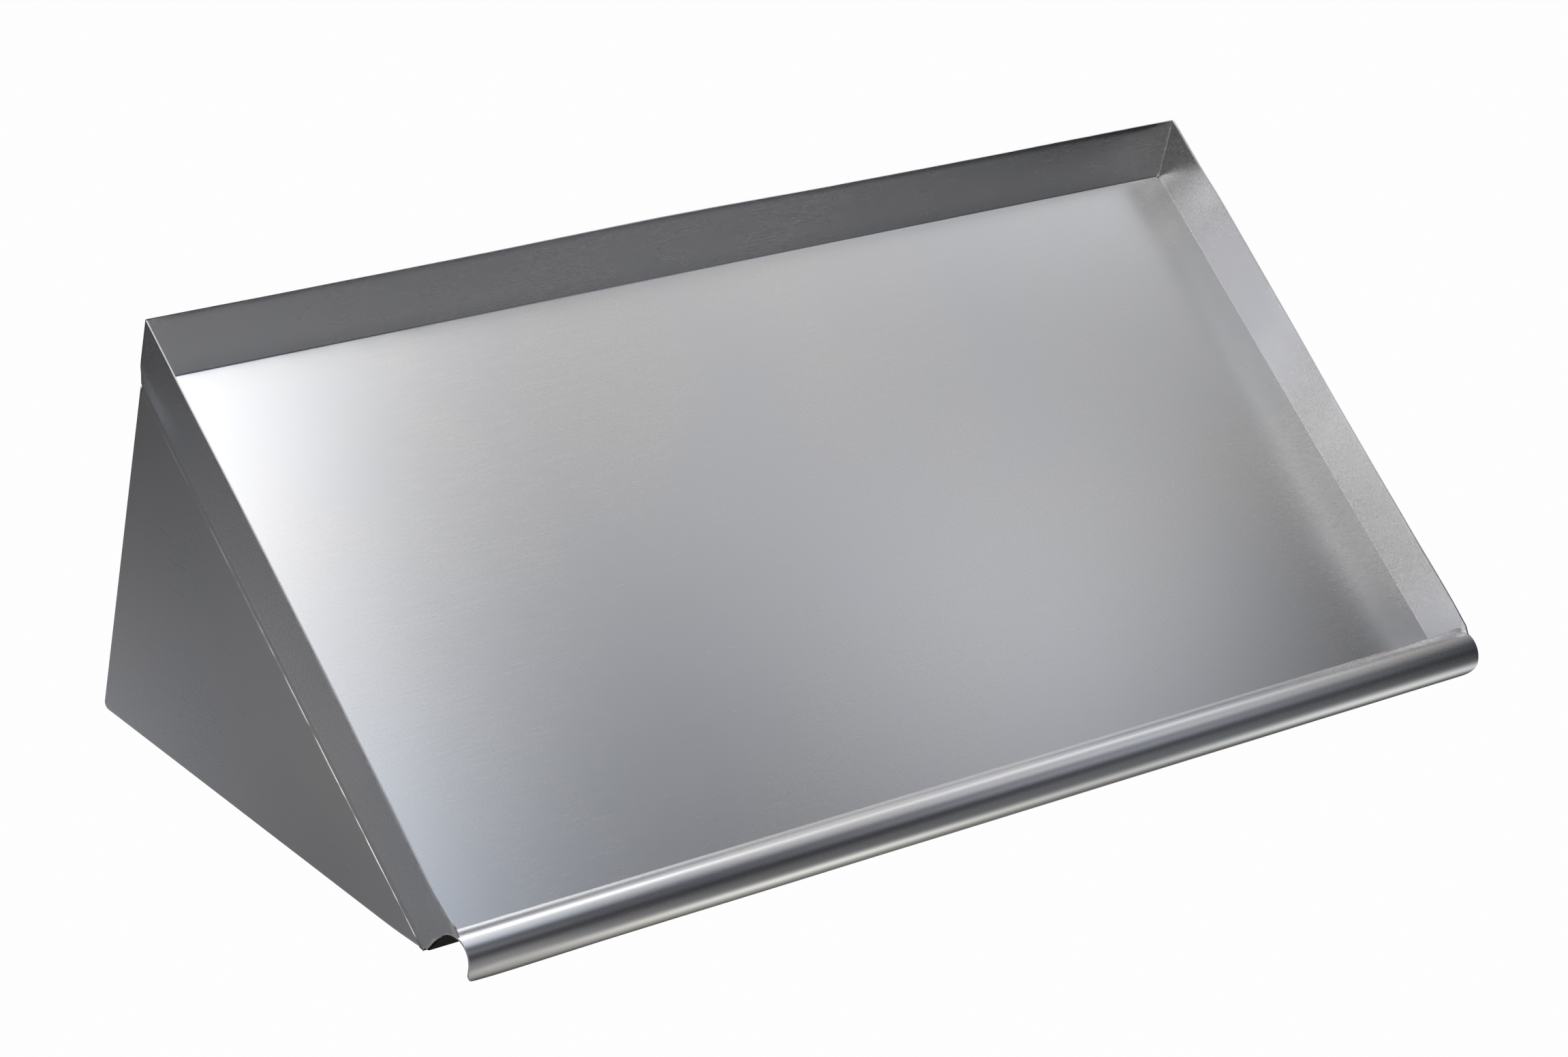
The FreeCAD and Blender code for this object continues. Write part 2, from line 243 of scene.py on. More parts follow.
# -------------------------------------------------------------------- the pan
def build_pan():
    bm = bmesh.new()

    n_mid = 190
    n_arc = 5
    x_arc0 = HALF - BEND_OUT
    xs = []
    for k in range(n_arc, 0, -1):
        xs.append((-1, k))
    for i in range(n_mid + 1):
        xs.append((0, -x_arc0 + 2 * x_arc0 * i / n_mid))
    for k in range(1, n_arc + 1):
        xs.append((1, k))

    def shift(x, u, v, zone, tray_side=False):
        d = play(x, u, v, zone, tray_side)
        return at(x + d[0], u + d[1], v + d[2])

    def inner_point(p, col, straight):
        """Tray-side surface. straight: the columns run on to the sheet's end."""
        kind, val = col
        if kind == 0:
            x = val
            if straight:
                xe = roll_x_end(p["v"])
                x0 = HALF - 45.0
                if abs(x) > x0:
                    x = math.copysign(x0 + (abs(x) - x0) * (xe - x0) /
                                      (HALF - x0), x)
            return shift(x, p["u"], p["v"], p["zone"], True)
        t = val / n_arc
        if straight:
            x = x_arc0 + BEND_OUT * t
            xe = roll_x_end(p["v"])
            x0 = HALF - 45.0
            x = x0 + (x - x0) * (xe - x0) / (HALF - x0)
            return shift(kind * x, p["u"], p["v"], p["zone"], True)
        a = t * math.pi / 2
        x = (x_arc0 + (BEND_IN - SIDE_BEND_IN) * min(1.0, 2 * t)
             + SIDE_BEND_IN * math.sin(a))
        off = SIDE_BEND_IN * (1 - math.cos(a))
        return shift(kind * x, p["u"] + p["nu"] * off, p["v"] + p["nv"] * off,
                     p["zone"], True)

    def outer_base(p):
        return p["u"] - p["nu"] * SHEET, p["v"] - p["nv"] * SHEET

    def morph(p):
        """0 where the outer corner is a full bend, 1 where the end is square."""
        if p["zone"] == "roll":
            return 1.0
        if p["zone"] != "front":
            return 0.0
        if p["nu"] < -0.999 and p["v"] < ROLL_CENTRE_V - 0.01:
            return smooth((p["v"] - 12.0) / (ROLL_CENTRE_V - 12.0))
        return 1.0 if p["v"] >= ROLL_CENTRE_V - 0.01 else 0.0

    def outer_point(p, col):
        kind, val = col
        qu, qv = outer_base(p)
        zone = p["zone"]
        roll_part = morph(p) >= 1.0
        if kind == 0:
            x = val
            if zone == "roll":
                xe = roll_x_end(qv)
                x0 = HALF - 45.0
                if abs(x) > x0:
                    x = math.copysign(x0 + (abs(x) - x0) * (xe - x0) /
                                      (HALF - x0), x)
            return shift(x, qu, qv, zone)
        m = morph(p)
        t = val / n_arc
        a = t * math.pi / 2
        x = x_arc0 + BEND_OUT * (math.sin(a) * (1 - m) + t * m)
        off = BEND_OUT * (1 - math.cos(a)) * (1 - m)
        if zone == "roll":
            xe = roll_x_end(qv)
            x0 = HALF - 45.0
            x = x0 + (x - x0) * (xe - x0) / (HALF - x0)
        return shift(kind * x, qu + p["nu"] * off, qv + p["nv"] * off, zone)

    def vert(co):
        return bm.verts.new(co)

    def quad(a, b, c, d):
        vs = []
        for q in (a, b, c, d):
            if q not in vs:
                vs.append(q)
        if len(vs) < 3:
            return None
        try:
            return bm.faces.new(vs)
        except ValueError:
            return None

    def grid(rows, flip=False):
        for i in range(len(rows) - 1):
            for j in range(len(rows[i]) - 1):
                f = (rows[i][j], rows[i][j + 1], rows[i + 1][j + 1],
                     rows[i + 1][j])
                quad(*(reversed(f) if flip else f))

    main = [p for p in PTS if p["zone"] != "roll"]
    open_roll = [p for p in PTS if p["zone"] == "roll"]

    in_main = [[vert(inner_point(p, c, False)) for c in xs] for p in main]
    in_roll = [[vert(inner_point(p, c, True)) for c in xs] for p in open_roll]
    grid(in_main, True)
    grid(in_roll, True)
    # bend columns stop where the cap ends; the little ledge beside it
    for side in (0, 1):
        idx = (list(range(0, n_arc + 1)) if side == 0
               else list(range(len(xs) - n_arc - 1, len(xs))))
        for j in idx[:-1]:
            quad(in_roll[0][j], in_roll[0][j + 1], in_main[-1][j + 1],
                 in_main[-1][j])

    out_main = [[vert(outer_point(p, c)) for c in xs] for p in main]
    out_roll = [[vert(outer_point(p, c)) for c in xs] for p in open_roll]
    grid(out_main)
    grid(out_roll)
    # the outer grids meet at the cap's end row, coordinates equal

    # side upturns: flat patches, inner face at HALF - SHEET, outer at HALF
    def coons(left, bottom, right, top, x, sign):
        """(u, v) boundary lists -> grid of verts. left and right run upwards."""
        m, n = len(left) - 1, len(bottom) - 1
        rows = []
        for j in range(m + 1):
            row = []
            s = j / m
            for i in range(n + 1):
                t = i / n
                p = [0.0, 0.0]
                for k in (0, 1):
                    p[k] = ((1 - s) * bottom[i][k] + s * top[i][k]
                            + (1 - t) * left[j][k] + t * right[j][k]
                            - ((1 - s) * (1 - t) * bottom[0][k]
                               + (1 - s) * t * bottom[n][k]
                               + s * (1 - t) * top[0][k]
                               + s * t * top[n][k]))
                row.append(vert(at(sign * x, p[0], p[1])))
            rows.append(row)
        return rows

    back_pts = [p for p in PTS if p["zone"] == "back"]
    floor_pts = [p for p in PTS if p["zone"] == "floor"]
    front_pts = [p for p in PTS if p["zone"] == "front"]
    m_side = len(back_pts) - 1

    assert len(front_pts) == len(back_pts), (len(front_pts), len(back_pts))

    for sign in (-1, 1):
        inn, out = [], []
        for surf in ("in", "out"):
            def bnd(p):
                if surf == "in":
                    return (p["u"] + p["nu"] * SIDE_BEND_IN,
                            p["v"] + p["nv"] * SIDE_BEND_IN)
                off = BEND_OUT * (1 - morph(p)) - SHEET
                return p["u"] + p["nu"] * off, p["v"] + p["nv"] * off
            left = [bnd(p) for p in reversed(back_pts)]
            bottom = ([left[0]] + [bnd(p) for p in floor_pts]
                      + [bnd(front_pts[0])])
            right = [bnd(p) for p in front_pts]
            n = len(bottom) - 1
            # top edge: along v = SIDE_H from the back, then down the cap
            cap = front_pts[-1]
            start = left[-1]
            knee = (FLOOR_LENGTH + 4.0, SIDE_H)
            end = right[-1]
            tip = ((cap["u"], cap["v"]) if surf == "out" else end)
            n_sl = 3
            n_run = n - n_sl - 1
            top = [(start[0] + (knee[0] - start[0]) * k / n_run,
                    start[1] + (knee[1] - start[1]) * k / n_run)
                   for k in range(n_run + 1)]
            for k in range(1, n_sl + 1):
                top.append((knee[0] + (tip[0] - knee[0]) * k / n_sl,
                            knee[1] + (tip[1] - knee[1]) * k / n_sl))
            top.append(end)
            x = HALF - SHEET if surf == "in" else HALF
            g = coons(left, bottom, right, top, x, sign)
            grid(g, flip=(sign < 0) != (surf == "in"))
            (inn if surf == "in" else out).extend(g)
        # rim along the top edge and down the cap
        ti, to = inn[-1], out[-1]
        for k in range(len(ti) - 2):
            f = (ti[k], ti[k + 1], to[k + 1], to[k])
            quad(*(f if sign < 0 else reversed(f)))
        # ring end
        col = 0 if sign < 0 else -1
        ri = [r[col] for r in in_roll]
        ro = [r[col] for r in out_roll]
        for k in range(len(ri) - 1):
            f = (ri[k], ri[k + 1], ro[k + 1], ro[k])
            quad(*(f if sign < 0 else reversed(f)))

    # rim along the back's top edge and the roll's free edge
    for j in range(len(xs) - 1):
        quad(in_main[0][j], in_main[0][j + 1], out_main[0][j + 1],
             out_main[0][j])
        quad(out_roll[-1][j], out_roll[-1][j + 1], in_roll[-1][j + 1],
             in_roll[-1][j])

    bmesh.ops.remove_doubles(bm, verts=bm.verts, dist=0.004 * MM)
    bmesh.ops.dissolve_degenerate(bm, dist=0.001 * MM, edges=bm.edges)
    # let the side upturns stray from flat, with the back's ends and the
    # start of the roll following
    for w in bm.verts:
        x = w.co.x / MM
        y, z = SHIFT - w.co.y / MM, w.co.z / MM - FLOOR_REAR_Z
        u, v = y * C - z * S, y * S + z * C
        if abs(x) < HALF - 70.0:
            continue
        near = smooth((abs(x) - (HALF - 70.0)) / 64.0)
        if u > 440.0:
            near *= smooth((500.0 - u) / 34.0)
            if abs(x) < HALF - 4.0:
                near *= smooth((abs(x) - (HALF - 40.0)) / 36.0)
        w.co.x += near * side_shift(-1 if x < 0 else 1, u, v) * MM
    bmesh.ops.recalc_face_normals(bm, faces=bm.faces)
    open_edges = [e for e in bm.edges if not e.is_manifold]
    print("pan faces", len(bm.faces), "open edges", len(open_edges))
    for e in open_edges[:12]:
        print("   open", [tuple(round(c * 1000, 2) for c in v.co)
                          for v in e.verts])
    return bm


# --------------------------------------------------------------- end brackets
FLANGE = 28.0
TIP_U = 474.2
FOOT_CORNER_R = 6.0
TIP_R = 3.5
RELIEF = 4.0
HOLE_R = 4.0
HOLE_IN = 16.0
HOLE_Z = (40.0, 220.0)
Z_TOP = FLOOR_REAR_Z - SHEET / C


def plane_yz(u, v):
    """(u, v) in mm -> (y from the wall plane, z)."""
    return (-(u * C + v * S), FLOOR_REAR_Z - u * S + v * C)


def foot_lift(y):
    """The foot edge is eased up over its last 45 mm to the front tip."""
    t = min(1.0, max(0.0, (-y - 342.0) / 45.0))
    return 1.6 * t * t


def build_bracket(sign):
    """Folded triangular end plate. sign -1 is the left one."""
    bmb = bmesh.new()
    tip_v = (TIP_U * S - FLOOR_REAR_Z) / C
    p0, p1 = (0.0, 0.0), (0.0, Z_TOP)
    p2, p3 = plane_yz(TIP_U, -SHEET), plane_yz(TIP_U, tip_v)
    rows = []          # outline point, inset point, flange cells, tip flag

    def row(out, ins, flange, tip=False):
        rows.append({"o": out, "i": ins, "flange": flange, "tip": tip})

    # rear edge, upwards; its outward normal is +y
    r = FOOT_CORNER_R
    hole_steps = (-10, -7.5, -5, -2.5, 0, 2.5, 5, 7.5, 10)
    zs = [r, 14.0]
    for hz in HOLE_Z:
        zs += [hz + s for s in hole_steps]
    zs += [60 + k * 10 for k in range(15)] + [Z_TOP - 20.0, Z_TOP - 8.0]
    zs = sorted(set(round(z, 4) for z in zs))
    for z in zs:
        row((0.0, z), (-BEND_OUT, z), 14.0 <= z <= Z_TOP - 19.99)
    # rear-top corner, mitred: inset by the bend from both edges
    tn = plane_yz(0, 1)
    n_top = (tn[0] - plane_yz(0, 0)[0], tn[1] - plane_yz(0, 0)[1])
    y_i = -BEND_OUT
    # the inset point lies at v = -SHEET - BEND_OUT, y = -BEND_OUT
    v_i = -SHEET - BEND_OUT
    u_i = (BEND_OUT - v_i * S) / C
    row(p1, (y_i, FLOOR_REAR_Z - u_i * S + v_i * C), False)
    # upper edge, down the slope; its outward normal is +v
    us = sorted(set([u_i + 0.5, 24.0] + [30.0 + 12.0 * k for k in range(35)]
                    + [438.0, 450.0, 462.0, TIP_U]))
    for u in us:
        o = plane_yz(u, -SHEET)
        i = plane_yz(u, -SHEET - BEND_OUT)
        row(o, i, 24.0 <= u <= 438.0)
    # tip edge, then its rounded lower corner, then the foot edge rearwards
    row(p2, p2, False, True)
    a = (p2[0] - p3[0], p2[1] - p3[1])
    la = math.hypot(*a)
    a = (a[0] / la, a[1] / la)
    b = (1.0, 0.0)
    ang = math.acos(a[0] * b[0] + a[1] * b[1])
    d = TIP_R / math.tan(ang / 2)
    mid = ((a[0] + b[0]), (a[1] + b[1]))
    lm = math.hypot(*mid)
    cc = (p3[0] + mid[0] / lm * TIP_R / math.sin(ang / 2),
          p3[1] + mid[1] / lm * TIP_R / math.sin(ang / 2))
    s0 = (p3[0] + a[0] * d, p3[1] + a[1] * d)
    s1 = (p3[0] + b[0] * d, p3[1] + b[1] * d)
    g0 = math.atan2(s0[1] - cc[1], s0[0] - cc[0])
    g1 = math.atan2(s1[1] - cc[1], s1[0] - cc[0])
    while g1 < g0:
        g1 += 2 * math.pi
    for k in range(9):
        t = k / 8
        g = g0 + (g1 - g0) * t
        o = (cc[0] + TIP_R * math.cos(g), cc[1] + TIP_R * math.sin(g))
        inset = BEND_OUT * smooth((t - 0.35) / 0.65)
        i = (cc[0] + (TIP_R - inset) * math.cos(g),
             cc[1] + (TIP_R - inset) * math.sin(g))
        lift = foot_lift(o[0])
        row((o[0], o[1] + lift), (i[0], i[1] + lift), False, inset <= 0.0)
    y_front = s1[0]
    relief_y = plane_yz(438.0, 0)[0]
    ys = sorted(set([round(relief_y, 4), -14.0, -FOOT_CORNER_R]
                    + [-30.0 - 12.0 * k for k in range(28)]))
    for y in ys:
        if y <= y_front + 0.5:
            continue
        lift = foot_lift(y)
        row((y, lift), (y, BEND_OUT + lift),
            relief_y + 1.0 <= y <= -14.0 or abs(y - relief_y) < 1e-3)
    for k in range(1, 8):
        g = -math.pi / 2 + math.pi / 2 * k / 8
        cy, cz = -FOOT_CORNER_R, FOOT_CORNER_R
        row((cy + FOOT_CORNER_R * math.cos(g), cz + FOOT_CORNER_R * math.sin(g)),
            (cy + (FOOT_CORNER_R - BEND_OUT) * math.cos(g),
             cz + (FOOT_CORNER_R - BEND_OUT) * math.sin(g)), False)

    n_arc = 6
    cols = []          # (kind, value): bend angle or flange distance
    for k in range(n_arc + 1):
        cols.append(("bend", math.pi / 2 * k / n_arc))
    for s in [RELIEF] + [HOLE_IN + h for h in hole_steps] + [FLANGE]:
        cols.append(("flange", s))
    j_bend = n_arc            # last bend column
    j_rel = n_arc + 1         # column at the relief line
    j_last = len(cols) - 1

    def point(rw, col, outer):
        kind, val = col
        if rw["tip"]:
            f, xo, xi = 0.0, 0.0, SHEET
            x = xo if outer else xi
            return rw["o"], x
        if kind == "bend":
            s, c = math.sin(val), math.cos(val)
            if outer:
                f, x = s, BEND_OUT * (1 - c)
            else:
                f, x = s * BEND_IN / BEND_OUT, BEND_OUT - BEND_IN * c
        else:
            f, x = (1.0 if outer else BEND_IN / BEND_OUT), val
        o, i = rw["o"], rw["i"]
        return (i[0] + (o[0] - i[0]) * f, i[1] + (o[1] - i[1]) * f), x

    n = len(rows)
    grids = {}
    for outer in (True, False):
        g = []
        for rw in rows:
            line = []
            for j, col in enumerate(cols):
                if rw["tip"] and j > 0:
                    line.append(line[0])
                    continue
                if j > j_rel and not rw["flange"]:
                    line.append(None)
                    continue
                q, x = point(rw, col, outer)
                line.append(bmb.verts.new(yz(sign * (HALF - x), q[0], q[1])))
            g.append(line)
        grids[outer] = g

    def face(vs, flip):
        seen = []
        for v in vs:
            if v not in seen:
                seen.append(v)
        if len(seen) > 2:
            try:
                bmb.faces.new(list(reversed(seen)) if flip else seen)
            except ValueError:
                pass

    # the hole blocks: rear rows whose z lies within 10 of a hole
    def hole_of(k):
        a, b = rows[k]["o"], rows[(k + 1) % n]["o"]
        if abs(a[0]) > 1e-6 or abs(b[0]) > 1e-6:
            return None
        for hz in HOLE_Z:
            if min(a[1], b[1]) >= hz - 10.01 and max(a[1], b[1]) <= hz + 10.01:
                return hz
        return None

    flip_out = sign > 0

    def cell_ok(k, j):
        a, b = rows[k], rows[(k + 1) % n]
        if a["tip"] and b["tip"]:
            return False
        if j > j_rel - 1 and not (a["flange"] and b["flange"]):
            return False
        if hole_of(k) is not None and j >= j_rel + 1 and j < j_last - 1:
            return False
        return True

    count = {}
    for k in range(n):
        k2 = (k + 1) % n
        for j in range(j_last):
            if not cell_ok(k, j):
                continue
            for outer in (True, False):
                g = grids[outer]
                face([g[k][j], g[k][j + 1], g[k2][j + 1], g[k2][j]],
                     flip_out != (not outer))
            for e in (((k, j), (k, j + 1)), ((k, j + 1), (k2, j + 1)),
                      ((k2, j), (k2, j + 1)), ((k, j), (k2, j))):
                count[e] = count.get(e, 0) + 1
    # plates
    for outer in (True, False):
        ring = []
        for line in grids[outer]:
            if line[0] not in ring:
                ring.append(line[0])
        face(ring, flip_out == outer)
    # rims
    O, I = grids[True], grids[False]
    for k in range(n):                      # along the plate ring
        k2 = (k + 1) % n
        if rows[k]["tip"] and rows[k2]["tip"]:
            face([O[k][0], O[k2][0], I[k2][0], I[k][0]], False)
    hole_edges = set()
    for (a, b), c in count.items():
        if c != 1 or (a[1] == 0 and b[1] == 0):
            continue
        z_in_hole = False
        k = a[0]
        if (hole_of(k) is not None or hole_of((k - 1) % n) is not None) and \
                j_rel + 1 <= a[1] <= j_last - 1 and \
                j_rel + 1 <= b[1] <= j_last - 1:
            z_in_hole = True
        if z_in_hole:
            continue
        face([O[a[0]][a[1]], O[b[0]][b[1]], I[b[0]][b[1]], I[a[0]][a[1]]],
             False)
    # holes
    for hz in HOLE_Z:
        ks = [k for k in range(n) if abs(rows[k]["o"][0]) < 1e-6
              and abs(rows[k]["o"][1] - hz) <= 10.01]
        js = list(range(j_rel + 1, j_last))
        per = ([(ks[0], j) for j in js] + [(k, js[-1]) for k in ks[1:]]
               + [(ks[-1], j) for j in reversed(js[:-1])]
               + [(k, js[0]) for k in reversed(ks[1:-1])])
        rings = {}
        for outer in (True, False):
            circ = []
            for (k, j) in per:
                x, z = cols[j][1], rows[k]["o"][1]
                dx, dz = x - HOLE_IN, z - hz
                l = math.hypot(dx, dz)
                yy = 0.0 if outer else -SHEET
                circ.append(bmb.verts.new(yz(
                    sign * (HALF - HOLE_IN - dx / l * HOLE_R), yy,
                    hz + dz / l * HOLE_R)))
            rings[outer] = circ
            g = grids[outer]
            for q in range(len(per)):
                a, b = per[q], per[(q + 1) % len(per)]
                face([g[a[0]][a[1]], g[b[0]][b[1]], circ[(q + 1) % len(per)],
                      circ[q]], flip_out != outer)
        for q in range(len(per)):
            q2 = (q + 1) % len(per)
            face([rings[True][q], rings[True][q2], rings[False][q2],
                  rings[False][q]], False)
    bmesh.ops.remove_doubles(bmb, verts=bmb.verts, dist=0.003 * MM)
    bmesh.ops.recalc_face_normals(bmb, faces=bmb.faces)
    bad = [e for e in bmb.edges if not e.is_manifold]
    print("bracket faces", len(bmb.faces), "open edges", len(bad))
    for e in bad[:8]:
        print("   open", [tuple(round(c * 1000, 2) for c in v.co)
                          for v in e.verts])
    return bmb


# ---------------------------------------------------------------------- welds
def seam_mesh(sign):
    """Ground fill of the groove between the pan's side fold and the end
    plate's fold: flush, with a low wandering ridge left along its lower toe."""
    bmw = bmesh.new()
    n = 300
    root = [(-0.55, 1.7), (-1.5, 1.9), (-2.45, 1.7)]
    steps = [0.0, 0.01, 0.06, 0.11, 0.15, 0.18, 0.20, 0.215, 0.23, 0.245,
             0.265, 0.29, 0.33, 0.5, 0.7, 0.9, 0.99, 1.0]
    sections = []
    for k in range(n + 1):
        u = (TIP_U - 0.4) * k / n
        wob = noise.noise(Vector((u / 9.0, sign * 3.0, 0.4)))
        wob2 = noise.noise(Vector((u / 31.0, sign * 5.0, 7.7)))
        v_foot = (u * S - FLOOR_REAR_Z + 1.6) / C
        v_lo = max(v_foot + 0.3, -4.98 - 0.8 * smooth((u - 60.0) / 350.0)
                   - 0.10 * (wob + wob2))
        v_hi = 1.10 + 0.10 * noise.noise(Vector((u / 17.0, 2.2, sign)))
        rise = (0.06 + 0.08 * smooth(u / 330.0)) * smooth((TIP_U - 8.0 - u) / 9.0)
        rise *= 1.0 + 0.9 * wob + 0.6 * wob2
        ring = []
        for t in steps:
            v = v_lo + (v_hi - v_lo) * t
            # depth under the side face; the toe stands a little proud
            d = 0.01 + 0.02 * noise.noise(Vector((u / 3.0, v / 2.0, sign)))
            # and falls away gently below, more sharply above
            h = v - v_lo - 1.40
            d -= rise * math.exp(-(h / (0.34 if h > 0 else 0.90)) ** 2)
            if t in (0.0, 1.0):
                d = 0.06
            # where the pan's fold runs in, the fill slopes over to it
            if sign > 0:
                d -= table(RIGHT_FOLD, u) * smooth((v + 3.4) / 4.2)
            ring.append((v, d))
        ring = ring + [(v, dd) for v, dd in root]
        # the rear end is trimmed upright, level with the back of the sheet
        trim = max(0.0, 1.0 - u / 14.0)
        sections.append([bmw.verts.new(at(sign * (HALF - d),
                                          u + trim * (2.9 - v * S) / C, v))
                         for v, d in ring])
    for a, b in zip(sections, sections[1:]):
        for j in range(len(a)):
            j2 = (j + 1) % len(a)
            bmw.faces.new((a[j], a[j2], b[j2], b[j]))
    bmw.faces.new(sections[0])
    bmw.faces.new(list(reversed(sections[-1])))
    bmesh.ops.recalc_face_normals(bmw, faces=bmw.faces)
    return bmw


def bead_into(bmw, path, da, db, legs, seed, pitch=1.6, ripple=0.12,
              embed=0.35):
    """Convex rippled bead in a corner. path: points in metres along the
    corner line; da, db: unit vectors up the two surfaces; legs: leg length in
    mm at each path point."""
    m = 7
    sections = []
    dist = 0.0
    for k, p in enumerate(path):
        if k:
            dist += (path[k] - path[k - 1]).length / MM
        leg = legs[k]
        rip = 1.0 + ripple * abs(math.sin(math.pi * dist / pitch)) \
            + 0.10 * noise.noise(Vector((dist / 2.3, seed, 0.5)))
        leg = max(0.02, leg * rip) * MM
        ring = []
        for j in range(m + 1):
            t = j / m * math.pi / 2
            ca, cb = math.cos(t) ** 1.25, math.sin(t) ** 1.25
            ring.append(p + da * (leg * ca) + db * (leg * cb))
        ring.append(p - (da + db) * (embed * MM))
        sections.append([bmw.verts.new(q) for q in ring])
    for a, b in zip(sections, sections[1:]):
        for j in range(len(a)):
            j2 = (j + 1) % len(a)
            bmw.faces.new((a[j], a[j2], b[j2], b[j]))
    bmw.faces.new(sections[0])
    bmw.faces.new(list(reversed(sections[-1])))


def back_corner_mesh(sign):
    bmw = bmesh.new()
    n = 90
    path, legs = [], []
    z0, z1 = FLOOR_REAR_Z - 0.9, FLOOR_REAR_Z + 44.0
    for k in range(n + 1):
        t = k / n
        z = z0 + (z1 - z0) * t ** 1.35
        dz = z - FLOOR_REAR_Z
        x = sign * (HALF - SHEET) + side_shift(
            sign, SHEET * C - dz * S, SHEET * S + dz * C)
        path.append(yz(x, -SHEET, z))
        h = z - z0
        leg = 0.80 + 1.35 * math.exp(-h / 1.4)
        leg *= smooth((z1 - z) / 2.0) * 0.9 + 0.1
        legs.append(leg)
    bead_into(bmw, path, Vector((-sign, 0, 0)), Vector((0, -1, 0)), legs,
              2.0 + sign)
    bmesh.ops.recalc_face_normals(bmw, faces=bmw.faces)
    return bmw


def front_corner_mesh(sign):
    """Fillet up the front wall and over the start of the roll."""
    bmw = bmesh.new()
    pts = []
    for k in range(9):
        v = FRONT_BEND_IN + 0.8 + (ROLL_CENTRE_V - FRONT_BEND_IN - 0.8) * k / 8
        pts.append((FLOOR_LENGTH, v, -1.0, 0.0))
    for k in range(1, 25):
        a = math.radians(180 - 62.0 * k / 24)
        pts.append((ROLL_CENTRE_U + ROLL_R * math.cos(a),
                    ROLL_CENTRE_V + ROLL_R * math.sin(a), math.cos(a),
                    math.sin(a)))
    m = 6
    sections = []
    dist = 0.0
    n = len(pts)
    for k, (u, v, nu, nv) in enumerate(pts):
        if k:
            dist += math.hypot(u - pts[k - 1][0], v - pts[k - 1][1])
        leg = 1.15 * (1 + 0.12 * abs(math.sin(dist * 2.1)) +
                      0.1 * noise.noise(Vector((dist / 2, 1.5, sign))))
        leg *= 0.15 + 0.85 * smooth(min(k, n - 1 - k) / 2.5)
        x = sign * (HALF - SHEET) + (side_shift(sign, u, v)
                                     * smooth((500.0 - u) / 34.0))
        ring = []
        for j in range(m + 1):
            t = j / m * math.pi / 2
            ca, cb = math.cos(t) ** 1.25, math.sin(t) ** 1.25
            ring.append(at(x - sign * leg * ca, u + nu * leg * cb,
                           v + nv * leg * cb))
        ring.append(at(x + sign * 0.3, u - nu * 0.3, v - nv * 0.3))
        sections.append([bmw.verts.new(q) for q in ring])
    for a, b in zip(sections, sections[1:]):
        for j in range(len(a)):
            j2 = (j + 1) % len(a)
            bmw.faces.new((a[j], a[j2], b[j2], b[j]))
    bmw.faces.new(sections[0])
    bmw.faces.new(list(reversed(sections[-1])))
    bmesh.ops.recalc_face_normals(bmw, faces=bmw.faces)
    return bmw


def stitch_mesh(sign):
    bmw = bmesh.new()
    da = Vector((-sign, 0, 0))                       # under the pan, inwards
    db = (at(0, 0, -1) - at(0, 0, 0)).normalized()   # down the flange's edge
    for u0 in (40.0, 135.0, 230.0, 325.0, 410.0):
        n = 34
        path, legs = [], []
        for k in range(n + 1):
            t = k / n
            path.append(at(sign * (HALF - FLANGE), u0 - 12.5 + 25 * t, -SHEET))
            legs.append(1.45 * (0.2 + 0.8 * smooth(min(t, 1 - t) / 0.09)))
        bead_into(bmw, path, da, db, legs, u0 + sign, pitch=2.0,
                  ripple=0.16, embed=0.2)
    bmesh.ops.recalc_face_normals(bmw, faces=bmw.faces)
    return bmw


def sharp_bevel(bm, degrees, width, segments=2):
    edges = [e for e in bm.edges if len(e.link_faces) == 2
             and e.calc_face_angle(0.0) > math.radians(degrees)]
    bmesh.ops.bevel(bm, geom=edges, offset=width, offset_type="OFFSET",
                    segments=segments, profile=0.5, affect="EDGES",
                    clamp_overlap=True)


def finish_mesh(bm, name, materials, weighted=True):
    # large flat faces are cut into well-shaped triangles
    big = [f for f in bm.faces if len(f.verts) > 20]
    if big:
        bmesh.ops.triangulate(bm, faces=big, quad_method="BEAUTY",
                              ngon_method="BEAUTY")
    me = bpy.data.meshes.new(name)
    bm.to_mesh(me)
    bm.free()
    for p in me.polygons:
        p.use_smooth = True
    for m in materials:
        me.materials.append(m)
    ob = bpy.data.objects.new(name, me)
    bpy.context.scene.collection.objects.link(ob)
    if weighted:
        w = ob.modifiers.new("weighted", "WEIGHTED_NORMAL")
        w.mode = "FACE_AREA"
        w.weight = 60
        w.keep_sharp = True
    return ob


